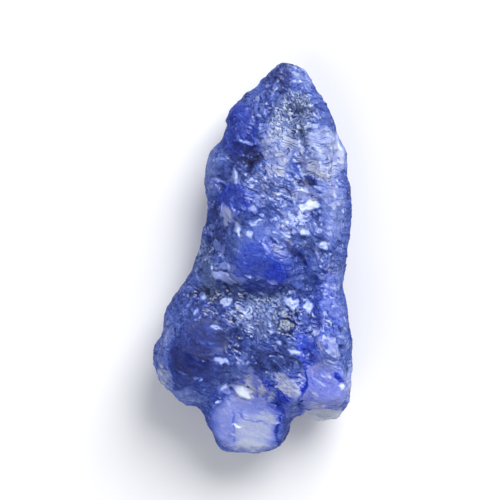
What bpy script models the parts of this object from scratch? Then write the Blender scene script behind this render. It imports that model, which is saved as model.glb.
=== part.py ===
"""Rough sapphire: one uncut violet-blue crystal fragment, lying on the flat break on its back.

The stone is a long, lumpy slab with a narrow tip, a wide foot, and a thin lug below the foot. It is made
the way it would be carved: an outline is cut out of a slab, the slab is swelled into a lump, lobes,
grooves, terraces and pits are worked into its front and back, shell-shaped chips are struck off all over,
and the back is cut flat where the stone rests. +Y runs from the lug to the tip, +Z is up from the table.
"""

import math
from collections import namedtuple

import bmesh
import bpy
import numpy as np
from mathutils import Vector, kdtree, noise

MM = 0.001  # every dimension below is in millimetres

# Driving dimensions
SEAM_HEIGHT = 4.2  # the outline's widest line above the table
SEAM_WANDER = 0.8  # how far that line strays up and down
SEAM_WAVE = 6.0  # and the length of its waves
FRONT_DEPTH = 5.7  # from the seam to the front, where the stone is widest
BACK_DEPTH = 4.6  # from the seam to the back, before the rest face is cut
BACK_SHOULDER = 5.0  # how far in from the outline the back reaches its full depth
SECTION_FULLNESS = 0.62  # the rounded section's power: 0.5 gives an ellipse, 1 a leaner parabola
EDGE_HALF = 0.30  # half the thickness of the thinnest edge
RIM_BAND = 1.2  # lobes, grooves and pits fade out over this last stretch to the outline
BEND_EASE = 2.0  # how far the bends in the depth along the length are eased
GROWTH = 0.20  # put back all over for what the chips take off

# How finely the stone is worked
SLAB_VOXEL = 0.32  # mesh size while the lump is swelled
FORM_VOXEL = 0.26  # mesh size while it is chipped
TRIANGLES = 9300
SEED = 7

# The outline seen from the front, clockwise from the tip
OUTLINE = [
    (3.4, 19.1), (4.2, 18.9), (4.8, 18.3), (5.5, 17.4), (5.9, 16.3), (6.7, 15.2), (7.5, 14.0), (8.1, 12.9),
    (8.2, 12.1), (8.7, 11.1), (9.0, 9.6), (9.0, 8.5), (9.3, 7.1), (9.4, 5.1), (9.1, 2.7), (8.9, 0.8),
    (8.7, -1.2), (8.5, -2.9), (8.9, -4.1), (9.1, -5.5), (9.4, -7.2), (9.4, -9.3), (9.7, -10.8), (9.5, -12.5),
    (9.3, -13.7), (9.0, -14.4), (8.5, -14.5), (8.2, -15.3), (5.8, -15.4), (5.1, -14.9), (4.1, -15.0),
    (3.5, -15.5), (3.4, -16.5), (2.9, -17.6), (1.9, -18.2), (-0.3, -18.5), (-2.9, -18.2), (-3.7, -17.6),
    (-4.1, -16.1), (-4.7, -15.6), (-4.8, -15.0), (-4.6, -14.6), (-5.2, -14.4), (-7.1, -13.7), (-7.6, -13.3),
    (-8.0, -12.5), (-8.7, -12.1), (-9.1, -11.5), (-9.3, -10.6), (-9.7, -9.3), (-9.5, -8.2), (-9.0, -7.2),
    (-9.0, -6.4), (-8.8, -5.2), (-8.3, -4.2), (-7.5, -3.2), (-6.7, -2.1), (-6.1, -0.9), (-5.5, 0.2),
    (-5.2, 2.1), (-4.8, 3.4), (-4.7, 5.0), (-4.5, 5.6), (-4.9, 6.4), (-4.7, 8.5), (-4.7, 9.9), (-4.1, 10.6),
    (-3.3, 11.4), (-2.9, 12.7), (-2.4, 13.4), (-2.3, 14.5), (-1.8, 15.2), (-0.7, 16.0), (0.3, 17.0),
    (1.5, 18.1), (2.5, 18.9),
]

# Along the length: y, the shares of the full depth at the front and at the back, and the front's shoulder
LENGTHWISE = [
    (-19.0, 0.50, 0.45, 2.0), (-15.5, 0.66, 0.68, 2.0), (-12.5, 0.93, 0.90, 2.3), (-9.0, 1.00, 1.00, 3.2),
    (-4.0, 0.98, 1.00, 4.4), (0.0, 1.00, 1.00, 4.4), (6.0, 0.92, 0.98, 4.4), (11.0, 0.80, 0.86, 4.2),
    (15.0, 0.64, 0.68, 3.6), (19.2, 0.36, 0.42, 2.6),
]

# A lobe swells the surface inside a turned ellipse, or hollows it where its height is below 0
Lobe = namedtuple("Lobe", "x y half_width half_length turn height")
FRONT_LOBES = [
    Lobe(-1.0, 12.6, 1.8, 4.4, -20, 1.0),  # ridge down the upper left
    Lobe(2.1, 10.3, 1.7, 3.6, 0, 1.0),  # pale column
    Lobe(6.3, 8.8, 2.7, 3.3, 0, 1.2),  # right shoulder
    Lobe(5.4, 14.6, 1.2, 3.0, 20, 0.6),  # right flank of the tip
    Lobe(-0.7, 9.3, 1.5, 2.2, 0, -0.8),  # hollow between the ridge and the column
    Lobe(-3.9, 8.3, 1.1, 2.6, 0, 1.3),  # bulge on the left edge
    Lobe(-1.5, 5.2, 2.3, 1.8, 0, 0.9),  # smooth knob
    Lobe(4.2, 3.0, 2.1, 2.3, 0, 1.1),  # glinting knob
    Lobe(7.4, 2.4, 1.6, 4.2, 0, 0.5),  # right flank
    Lobe(0.9, -0.1, 3.7, 3.2, 10, 0.8),  # heart of the front
    Lobe(-3.6, 1.2, 1.6, 3.2, 10, -0.5),  # hollow on the left
    Lobe(0.9, -7.2, 3.8, 3.0, 15, 1.0),  # striped shoulder under the waist
    Lobe(7.3, -6.4, 2.0, 4.4, 0, 1.0),  # fluted column
    Lobe(-5.2, -8.7, 3.8, 3.6, 15, 0.6),  # big dark lobe, lower left
    Lobe(3.2, -11.7, 1.6, 2.0, 15, 0.9),  # bright knob above the lug
    Lobe(6.6, -11.8, 2.6, 2.4, 0, 0.9),  # smooth foot, lower right
]
BACK_LOBES = [
    Lobe(2.8, 9.5, 2.6, 4.4, -10, 0.7),
    Lobe(-2.4, 4.0, 2.2, 3.6, 12, 0.6),
    Lobe(3.6, -1.5, 3.8, 4.2, 0, 0.6),
    Lobe(-4.6, -7.4, 3.6, 3.8, 0, 0.8),
    Lobe(4.4, -9.6, 3.2, 3.4, 0, 0.7),
    Lobe(-1.2, -15.4, 2.4, 2.6, 0, 0.5),
]

# A groove is a V-shaped furrow along a line of points
Groove = namedtuple("Groove", "half_width depth line")
FRONT_GROOVES = [
    # valley down from the tip
    Groove(1.3, 1.6, [(4.0, 18.0), (3.4, 15.5), (4.3, 13.7), (4.2, 11.3), (3.9, 10.2), (4.9, 8.4)]),
    # behind the bulge on the left edge
    Groove(0.8, 1.1, [(-3.2, 11.4), (-2.3, 9.6), (-2.4, 7.6), (-3.2, 5.7)]),
    # notch under the right shoulder
    Groove(0.7, 1.0, [(3.9, 7.3), (5.2, 7.1), (6.3, 6.9)]),
    # under the smooth knob
    Groove(0.9, 0.8, [(-4.6, 4.2), (-3.2, 3.3), (-1.6, 3.2), (0.6, 4.1), (2.2, 4.6)]),
    # waist
    Groove(1.3, 1.4, [(-5.4, -3.2), (-3.2, -2.6), (-1.2, -3.2), (1.0, -3.4), (3.3, -3.0), (5.2, -2.3)]),
    # left of the fluted column
    Groove(1.2, 1.4, [(5.3, 1.2), (5.6, -2.6), (5.2, -6.9), (4.7, -10.9), (4.3, -13.8)]),
    # right of the big dark lobe, and under it
    Groove(0.9, 0.8, [(-5.0, -4.0), (-3.3, -6.0), (-2.3, -8.4), (-1.8, -10.2)]),
    Groove(0.9, 0.9, [(-7.6, -13.0), (-4.6, -11.4), (-2.6, -10.9), (-0.3, -10.6), (2.2, -10.2)]),
    # down the right of the lug
    Groove(0.6, 0.6, [(2.6, -11.8), (2.0, -13.8), (2.9, -15.2), (1.9, -17.2)]),
    # under the foot
    Groove(0.5, 0.5, [(4.4, -11.8), (4.7, -13.9), (6.4, -14.1), (8.9, -13.6)]),
    # left edge of the big dark lobe
    Groove(0.7, 0.5, [(-8.4, -5.4), (-7.4, -7.2), (-7.9, -10.2), (-8.4, -11.6)]),
]
BACK_GROOVES = [
    Groove(1.1, 1.2, [(-4.6, 6.8), (-1.0, 7.6), (1.6, 5.2), (6.4, 4.4), (9.4, 5.4)]),
    Groove(1.0, 1.1, [(-6.2, -2.2), (-2.2, -3.2), (-0.4, -7.2), (0.8, -11.6), (-3.0, -14.2)]),
    Groove(0.9, 0.9, [(9.0, -6.2), (6.4, -5.4), (1.2, -6.4)]),
    Groove(0.8, 0.8, [(0.4, 16.4), (2.2, 12.6), (7.2, 11.8)]),
]
GROOVE_SHARPNESS = 1.2  # 1 gives straight sides, and more gives sides that hollow towards the bottom

# A terrace is a stepped flat inside a turned ellipse: its middle's height above the table, and its slopes
Terrace = namedtuple("Terrace", "x y half_width half_length turn height slope_x slope_y")
FRONT_TERRACES = [
    Terrace(-0.6, -16.2, 4.3, 5.3, 0, 6.9, -0.04, 0.20),  # lug
    Terrace(6.6, -11.7, 2.8, 2.5, 0, 9.2, -0.04, -0.04),  # smooth foot
    Terrace(6.8, -15.5, 3.3, 2.2, 0, 6.9, -0.05, 0.15),  # ledge under the foot
    Terrace(7.0, -15.8, 3.8, 1.6, 0, 4.9, 0.0, 0.0),  # thin plate under the ledge
    Terrace(9.9, -12.0, 1.3, 3.6, 0, 4.9, 0.0, 0.0),  # flange beside the foot
    Terrace(-5.2, 2.2, 0.75, 1.6, 14, 4.9, 0.3, 0.0),  # thin flake on the left edge
]
BACK_TERRACES = [
    Terrace(6.8, -15.6, 3.0, 1.5, 0, 3.3, 0.0, 0.0),
    Terrace(9.9, -12.4, 1.2, 3.2, 0, 3.3, 0.0, 0.0),
    Terrace(-5.4, 2.4, 1.0, 2.0, 14, 3.6, 0.0, 0.0),
    Terrace(-0.4, -18.2, 4.4, 2.6, 0, 2.2, 0.0, -0.1),
]
TERRACE_RIM = 0.14  # share of the ellipse over which the step falls

# A calm area broke smoother than the rest: its chips keep only a share of their depth
Calm = namedtuple("Calm", "x y half_width half_length turn share")
FRONT_CALM = [
    Calm(-1.2, 12.2, 1.7, 2.8, -15, 0.5),  # ridge down the upper left
    Calm(2.3, 10.2, 1.6, 3.0, 0, 0.4),  # pale column
    Calm(-1.7, 5.5, 1.9, 1.4, 0, 0.2),  # smooth knob
    Calm(0.8, -0.2, 3.3, 3.0, 0, 0.2),  # heart of the front
    Calm(-5.6, -8.8, 3.3, 3.6, 0, 0.2),  # big dark lobe
    Calm(6.6, -11.9, 2.8, 2.6, 0, 0.1),  # smooth foot
    Calm(-0.6, -15.8, 4.0, 3.4, 0, 0.3),  # lug
]
CALM_RIM = 0.4  # share of the ellipse over which the calm fades out

# A pit is a small steep hollow
Pit = namedtuple("Pit", "x y radius depth")
FRONT_PITS = [
    Pit(4.5, 0.3, 1.2, 1.5),
    Pit(-1.6, 7.8, 0.7, 0.7),
    Pit(8.2, -11.4, 0.6, 0.6),
    Pit(3.6, -4.2, 0.6, 0.4),
    Pit(2.7, 15.3, 0.9, 0.6),
    Pit(-3.4, -4.4, 0.7, 0.6),
]

# Worked lines stray to and fro: how far, over lumps of what size, and which noise to read
Stray = namedtuple("Stray", "reach size seed_x seed_y")
STRAYS = [Stray(0.8, 2.6, 31.0, 41.0), Stray(0.3, 0.9, 37.0, 43.0)]
SEAM_NOISE = 3.0

# Chips are struck off all over, the large flakes first. A chip is a shallow bowl that leans a little.
Chip = namedtuple("Chip", "spacing least_radius greatest_radius least_depth greatest_depth lean")
CHIP_KINDS = [
    Chip(3.0, 2.4, 4.0, 0.25, 0.60, 0.16),
    Chip(1.3, 0.9, 1.9, 0.12, 0.36, 0.26),
]
DEEPEST_CUT = 0.8
RIM_FADE = 8  # the higher this power, the nearer to its rim a chip keeps its depth
SAME_SIDE = 0.2  # a chip cuts only what faces its way by more than this cosine
GUARDED_SHARE = 0.50  # chips cut this share of their depth at the outline
GUARDED_BAND = 1.6  # and all of it this far in

TABLE_BLOCK = (60.0, 60.0, 20.0)  # what the rest face is cut with
CRYSTAL_BLUE = (0.070, 0.095, 0.560, 1.0)
CRYSTAL_ROUGHNESS = 0.22
CORUNDUM_IOR = 1.76


def smooth_step(value):
    """0 below 0, 1 above 1, and an even rise between."""
    value = np.clip(value, 0.0, 1.0)
    return value * value * (3.0 - 2.0 * value)


def ellipse_share(x, y, shape):
    """How far each point lies from the middle of a turned ellipse: 0 there and 1 on its rim."""
    turn = math.radians(shape.turn)
    across = (x - shape.x) * math.cos(turn) + (y - shape.y) * math.sin(turn)
    along = (y - shape.y) * math.cos(turn) - (x - shape.x) * math.sin(turn)
    return np.hypot(across / shape.half_width, along / shape.half_length)


def distance_to_line(x, y, points):
    """The distance of each point to a line of straight stretches."""
    nearest = np.full_like(x, np.inf)
    for (x0, y0), (x1, y1) in zip(points[:-1], points[1:]):
        run_x = x1 - x0
        run_y = y1 - y0
        share = ((x - x0) * run_x + (y - y0) * run_y) / (run_x**2 + run_y**2)
        share = np.clip(share, 0.0, 1.0)
        nearest = np.minimum(nearest, np.hypot(x - x0 - share * run_x, y - y0 - share * run_y))
    return nearest


def inset_from_outline(x, y):
    return distance_to_line(x, y, OUTLINE + OUTLINE[:1])


def swell(inset, shoulder):
    """The rounded section of the slab: 0 at the outline and 1 from the shoulder inwards."""
    remaining = 1.0 - np.clip(inset / shoulder, 0.0, 1.0)
    return (1.0 - remaining**2) ** SECTION_FULLNESS


def relief(x, y, lobes, grooves):
    """What the lobes add and the grooves take away."""
    height = np.zeros_like(x)
    for lobe in lobes:
        height += lobe.height * (1.0 - smooth_step(ellipse_share(x, y, lobe)))
    for groove in grooves:
        share = distance_to_line(x, y, groove.line) / groove.half_width
        height -= groove.depth * np.clip(1.0 - share, 0.0, 1.0) ** GROOVE_SHARPNESS
    return height


def terrace_at(x, y, off_x, off_y, terrace):
    """A terrace's height at each point, and how far the point is inside it: 1 there and 0 outside."""
    flat = terrace.height + terrace.slope_x * (x - terrace.x) + terrace.slope_y * (y - terrace.y)
    return flat, smooth_step((1.0 - ellipse_share(off_x, off_y, terrace)) / TERRACE_RIM)


def wander(x, y, size, seed):
    """A slow, even unevenness between about -1 and 1, with lumps of the given size."""
    places = np.column_stack([x / size, y / size, np.full_like(x, seed)])
    return np.array([noise.noise(Vector(place)) for place in places])


def strayed(x, y):
    """The same points, moved a little to and fro, so that no worked line runs straight."""
    shift_x = sum(stray.reach * wander(x, y, stray.size, stray.seed_x) for stray in STRAYS)
    shift_y = sum(stray.reach * wander(x, y, stray.size, stray.seed_y) for stray in STRAYS)
    return x + shift_x, y + shift_y


def along_length(y, column):
    """A column of LENGTHWISE at each y, with its bends eased."""
    rows = np.array(LENGTHWISE)
    shifts = np.linspace(-BEND_EASE, BEND_EASE, 9)
    return sum(np.interp(y + shift, rows[:, 0], rows[:, column]) for shift in shifts) / len(shifts)


def evaluated_mesh(obj):
    """The mesh that an object's curve or modifiers make."""
    bpy.context.view_layer.update()
    return bpy.data.meshes.new_from_object(obj.evaluated_get(bpy.context.evaluated_depsgraph_get()))


def apply_modifiers(obj):
    mesh = evaluated_mesh(obj)
    obj.modifiers.clear()
    obj.data = mesh


def remesh(obj, voxel):
    modifier = obj.modifiers.new("even skin", "REMESH")
    modifier.mode = "VOXEL"
    modifier.voxel_size = voxel * MM
    apply_modifiers(obj)


def vertices_of(obj):
    """The mesh's vertices in millimetres, one row each."""
    flat = np.empty(len(obj.data.vertices) * 3)
    obj.data.vertices.foreach_get("co", flat)
    return flat.reshape(-1, 3) / MM


def normals_of(obj):
    flat = np.empty(len(obj.data.vertices) * 3)
    obj.data.vertex_normals.foreach_get("vector", flat)
    return flat.reshape(-1, 3)


def place_vertices(obj, points):
    obj.data.vertices.foreach_set("co", (points * MM).ravel())
    obj.data.update()


def cut_slab(name, collection):
    """The outline cut out of a slab, as an even mesh, with its front at z = 1 and its back at z = -1."""
    curve = bpy.data.curves.new(name, "CURVE")
    curve.dimensions = "2D"
    curve.fill_mode = "BOTH"
    curve.extrude = MM
    spline = curve.splines.new("POLY")
    spline.points.add(len(OUTLINE) - 1)
    for point, (x, y) in zip(spline.points, OUTLINE):
        point.co = (x * MM, y * MM, 0.0, 1.0)
    spline.use_cyclic_u = True
    guide = bpy.data.objects.new(name + "_outline", curve)
    collection.objects.link(guide)
    mesh = evaluated_mesh(guide)
    mesh.name = name
    bpy.data.objects.remove(guide)

    working = bmesh.new()
    working.from_mesh(mesh)
    bmesh.ops.remove_doubles(working, verts=working.verts, dist=0.01 * MM)
    bmesh.ops.recalc_face_normals(working, faces=working.faces)
    working.to_mesh(mesh)
    working.free()
    slab = bpy.data.objects.new(name, mesh)
    collection.objects.link(slab)
    remesh(slab, SLAB_VOXEL)
    return slab


def swell_slab(slab):
    """Swell the slab into the lump, with its lobes, grooves, terraces and pits."""
    points = vertices_of(slab)
    x, y, side = points.T
    inset = inset_from_outline(x, y)
    inward = smooth_step(inset / RIM_BAND)
    off_x, off_y = strayed(x, y)

    seam = SEAM_HEIGHT + SEAM_WANDER * wander(x, y, SEAM_WAVE, SEAM_NOISE)
    front = seam + FRONT_DEPTH * along_length(y, 1) * swell(inset, along_length(y, 3))
    front += inward * relief(off_x, off_y, FRONT_LOBES, FRONT_GROOVES)
    for terrace in FRONT_TERRACES:
        flat, inside = terrace_at(x, y, off_x, off_y, terrace)
        front += inside * (np.minimum(front, flat) - front)
    for pit in FRONT_PITS:
        away = np.hypot(off_x - pit.x, off_y - pit.y) / pit.radius
        front -= pit.depth * inward * (1.0 - smooth_step(away))
    back = seam - BACK_DEPTH * along_length(y, 2) * swell(inset, BACK_SHOULDER)
    back -= inward * relief(off_x, off_y, BACK_LOBES, BACK_GROOVES)
    for terrace in BACK_TERRACES:
        flat, inside = terrace_at(x, y, off_x, off_y, terrace)
        back += inside * (np.maximum(back, flat) - back)

    front = np.maximum(front, seam + EDGE_HALF)
    back = np.minimum(back, seam - EDGE_HALF)
    height = np.where(side > 0.0, seam + (front - seam) * side, seam + (seam - back) * side)
    place_vertices(slab, np.column_stack([x, y, height]))


def spread_out(points, spacing, random):
    """Indices of points picked in a random order that keep their distance from each other."""
    cells = {}
    picked = []
    for index in random.permutation(len(points)):
        cell = tuple(np.floor(points[index] / spacing).astype(int))
        near = [
            other
            for dx in (-1, 0, 1)
            for dy in (-1, 0, 1)
            for dz in (-1, 0, 1)
            for other in cells.get((cell[0] + dx, cell[1] + dy, cell[2] + dz), ())
        ]
        if all(np.linalg.norm(points[index] - points[other]) > spacing for other in near):
            cells.setdefault(cell, []).append(index)
            picked.append(index)
    return picked


def calm_share(points):
    """The share of their depth that chips keep at each point."""
    x, y, height = points.T
    share = np.ones(len(points))
    for calm in FRONT_CALM:
        inside = smooth_step((1.0 - ellipse_share(x, y, calm)) / CALM_RIM + 0.5)
        share = np.minimum(share, 1.0 - (1.0 - calm.share) * inside * (height > SEAM_HEIGHT))
    return share


def strike_chips(stone, kind, random):
    """Strike chips of one kind all over. Where two meet, the deeper one is kept, and a sharp ridge stands."""
    points = vertices_of(stone)
    normals = normals_of(stone)
    tree = kdtree.KDTree(len(points))
    for index, point in enumerate(points):
        tree.insert(point, index)
    tree.balance()
    inset = inset_from_outline(points[:, 0], points[:, 1])
    guard = GUARDED_SHARE + (1.0 - GUARDED_SHARE) * smooth_step(inset / GUARDED_BAND)
    guard *= calm_share(points)
    deepest = np.zeros(len(points))
    cut = np.zeros_like(points)
    for chip in spread_out(points, kind.spacing, random):
        radius = random.uniform(kind.least_radius, kind.greatest_radius)
        depth = random.uniform(kind.least_depth, kind.greatest_depth)
        facing = normals[chip] + random.normal(0.0, kind.lean, 3)
        facing /= np.linalg.norm(facing)
        near = np.array([index for _, index, _ in tree.find_range(points[chip], radius)])
        offset = points[near] - points[chip]
        share = np.linalg.norm(offset, axis=1) / radius
        proud = offset @ facing + depth * (1.0 - share**2)
        proud = np.clip(proud, 0.0, DEEPEST_CUT) * (1.0 - share**RIM_FADE)
        proud *= guard[near] * (normals[near] @ facing > SAME_SIDE)
        better = proud > deepest[near]
        deepest[near[better]] = proud[better]
        cut[near[better]] = proud[better, None] * facing
    place_vertices(stone, points - cut)


def thin_out(stone):
    """Keep the triangles where the form needs them."""
    modifier = stone.modifiers.new("fewer faces", "DECIMATE")
    modifier.ratio = TRIANGLES / (2.0 * len(stone.data.polygons))
    apply_modifiers(stone)


def centre(stone):
    """Put the middle of the stone's length and width at the origin."""
    points = vertices_of(stone)
    middle = (points.min(axis=0) + points.max(axis=0)) / 2.0
    middle[2] = 0.0
    place_vertices(stone, points - middle)


def cut_rest_face(stone, cutters):
    """Cut the back flat at the height of the table."""
    bpy.ops.mesh.primitive_cube_add(size=1.0)
    below = bpy.context.active_object
    below.name = "below_the_table"
    below.scale = [side * MM for side in TABLE_BLOCK]
    below.location = (0.0, 0.0, -TABLE_BLOCK[2] / 2.0 * MM)
    below.hide_render = True
    below.display_type = "WIRE"
    for owner in list(below.users_collection):
        owner.objects.unlink(below)
    cutters.objects.link(below)
    cut = stone.modifiers.new("rest face", "BOOLEAN")
    cut.operation = "DIFFERENCE"
    cut.object = below


def crystal_material():
    """Violet-blue crystal, glassy where it broke clean."""
    material = bpy.data.materials.new("violet_blue_crystal")
    material.use_nodes = True
    shader = material.node_tree.nodes["Principled BSDF"]
    shader.inputs["Base Color"].default_value = CRYSTAL_BLUE
    shader.inputs["Roughness"].default_value = CRYSTAL_ROUGHNESS
    shader.inputs["Metallic"].default_value = 0.0
    shader.inputs["IOR"].default_value = CORUNDUM_IOR
    material.diffuse_color = CRYSTAL_BLUE
    return material


for old in list(bpy.data.objects):
    bpy.data.objects.remove(old)
parts = bpy.data.collections.new("rough_sapphire")
tools = bpy.data.collections.new("cutters")
for new in (parts, tools):
    bpy.context.scene.collection.children.link(new)

sapphire = cut_slab("sapphire_crystal", parts)
swell_slab(sapphire)
remesh(sapphire, FORM_VOXEL)
place_vertices(sapphire, vertices_of(sapphire) + GROWTH * normals_of(sapphire))
chance = np.random.default_rng(SEED)
for chip_kind in CHIP_KINDS:
    strike_chips(sapphire, chip_kind, chance)
    remesh(sapphire, FORM_VOXEL)
thin_out(sapphire)
centre(sapphire)
cut_rest_face(sapphire, tools)
sapphire.data.materials.clear()
sapphire.data.materials.append(crystal_material())
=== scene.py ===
import math
from collections import namedtuple

import bmesh
import bpy
import numpy as np
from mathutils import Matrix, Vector, noise
from mathutils.bvhtree import BVHTree


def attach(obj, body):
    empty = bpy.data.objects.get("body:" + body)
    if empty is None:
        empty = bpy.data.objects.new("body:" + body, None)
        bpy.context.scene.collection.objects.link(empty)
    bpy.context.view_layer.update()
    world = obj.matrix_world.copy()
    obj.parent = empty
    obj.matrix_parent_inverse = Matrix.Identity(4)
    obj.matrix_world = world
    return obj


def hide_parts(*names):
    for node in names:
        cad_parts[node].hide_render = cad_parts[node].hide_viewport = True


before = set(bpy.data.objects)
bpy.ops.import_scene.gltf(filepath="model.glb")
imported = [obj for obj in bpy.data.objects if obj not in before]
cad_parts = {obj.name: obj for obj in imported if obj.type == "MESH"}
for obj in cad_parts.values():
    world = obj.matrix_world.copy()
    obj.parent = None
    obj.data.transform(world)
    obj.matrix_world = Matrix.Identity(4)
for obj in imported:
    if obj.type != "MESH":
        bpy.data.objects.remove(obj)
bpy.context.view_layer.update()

# The stone is one rough piece of violet-blue corundum, clear inside, that broke off a larger crystal and was
# never cut or polished. Its skin starts as an even fine one on the CAD solid's own form, whose facets' edges
# are taken off. Every size is in millimetres, and every direction in degrees.
MM = 0.001
SAME_PLACE = 0.001
SKIN_VOXEL = 0.095
SKIN_SMOOTHING = 4
# How far each round of smoothing moves a point towards its neighbours' middle
SMOOTHING_PACE = 0.5


def apply_modifiers(obj):
    """Make what an object's modifiers give its plain mesh."""
    bpy.context.view_layer.update()
    obj.data = bpy.data.meshes.new_from_object(obj.evaluated_get(bpy.context.evaluated_depsgraph_get()))
    obj.modifiers.clear()
    obj.vertex_groups.clear()


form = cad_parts["sapphire_crystal"].data.copy()
working = bmesh.new()
working.from_mesh(form)
bmesh.ops.remove_doubles(working, verts=working.verts, dist=SAME_PLACE * MM)
working.to_mesh(form)
working.free()
crystal = bpy.data.objects.new("broken_crystal", form)
bpy.context.scene.collection.objects.link(crystal)
even = crystal.modifiers.new("even skin", "REMESH")
even.mode = "VOXEL"
even.voxel_size = SKIN_VOXEL * MM
softened = crystal.modifiers.new("softened facets", "SMOOTH")
softened.factor = SMOOTHING_PACE
softened.iterations = SKIN_SMOOTHING
apply_modifiers(crystal)

# Its smooth places: here the crystal parted along one broad shell-shaped break, and not in many small flakes,
# so it is rounded and even. The last of the solid's facets are worn away there.
WORN_SMOOTHING = 150
# The front begins where the skin faces a little downwards, and is full this much further round
FRONT_STARTS = -0.15
FRONT_SPAN = 0.4
# An area on the front is a turned ellipse, and how much of something it has. The amount fades out towards the
# rim, the faster the higher AREA_FADE is, and ends at AREA_END of the half sizes.
Area = namedtuple("Area", "x y half_width half_length turn amount")
AREA_FADE = 2.2
AREA_END = 1.2
SMOOTH_AREAS = [
    Area(-1.25, 12.2, 1.9, 3.0, -15, 0.3),  # blue ridge, upper left
    Area(-1.8, 5.6, 1.8, 1.2, 0, 0.8),  # smooth knob
    Area(0.9, 0.0, 3.5, 3.3, 0, 0.80),  # heart of the front
    Area(2.3, 10.2, 1.6, 2.9, 0, 0.5),  # pale column
    Area(-5.2, -9.2, 2.8, 3.0, 0, 0.80),  # big dark lobe
    Area(6.4, -12.0, 2.3, 1.9, 0, 0.85),  # foot
    Area(-0.6, -15.6, 3.8, 3.0, 0, 0.85),  # lug
    Area(7.4, 3.6, 1.2, 3.2, 0, 0.3),  # right flank
]


def read_rows(collection, name):
    """A vector for each item of a mesh's collection, one row each."""
    flat = np.empty(len(collection) * 3, np.float32)
    collection.foreach_get(name, flat)
    return flat.reshape(-1, 3)


def smooth_step(value):
    """0 below 0, 1 above 1, and an even rise between."""
    value = np.clip(value, 0.0, 1.0)
    return value * value * (3.0 - 2.0 * value)


def facing_front(normals):
    """1 where the skin faces up, and 0 where it faces down."""
    return smooth_step((normals[:, 2] - FRONT_STARTS) / FRONT_SPAN)


def turned_axes(points, place):
    """How far each point lies from a place, along its turned X axis and along its turned Y axis."""
    turn = math.radians(place.turn)
    off_x = points[:, 0] - place.x
    off_y = points[:, 1] - place.y
    along_x = off_x * math.cos(turn) + off_y * math.sin(turn)
    return along_x, off_y * math.cos(turn) - off_x * math.sin(turn)


def amount_in(points, area):
    """What an area gives each point, with a soft rim."""
    across, along = turned_axes(points, area)
    share = np.hypot(across / area.half_width, along / area.half_length)
    return area.amount * smooth_step(AREA_FADE * (AREA_END - share))


def most(points, areas):
    """The most that any of the areas gives each point."""
    return np.maximum.reduce([amount_in(points, area) for area in areas])


def total(points, areas):
    """What all the areas together give each point."""
    return sum(amount_in(points, area) for area in areas)


def weigh(obj, name, weights):
    """Give each of an object's points its weight in a new group."""
    group = obj.vertex_groups.new(name=name)
    for index, weight in enumerate(weights):
        if weight > 0.0:
            group.add([index], float(weight), "REPLACE")


points = read_rows(crystal.data.vertices, "co") / MM
front = facing_front(read_rows(crystal.data.vertex_normals, "vector"))
weigh(crystal, "worn", front * most(points, SMOOTH_AREAS))
worn = crystal.modifiers.new("worn smooth", "SMOOTH")
worn.factor = SMOOTHING_PACE
worn.iterations = WORN_SMOOTHING
worn.vertex_group = "worn"
apply_modifiers(crystal)

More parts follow.
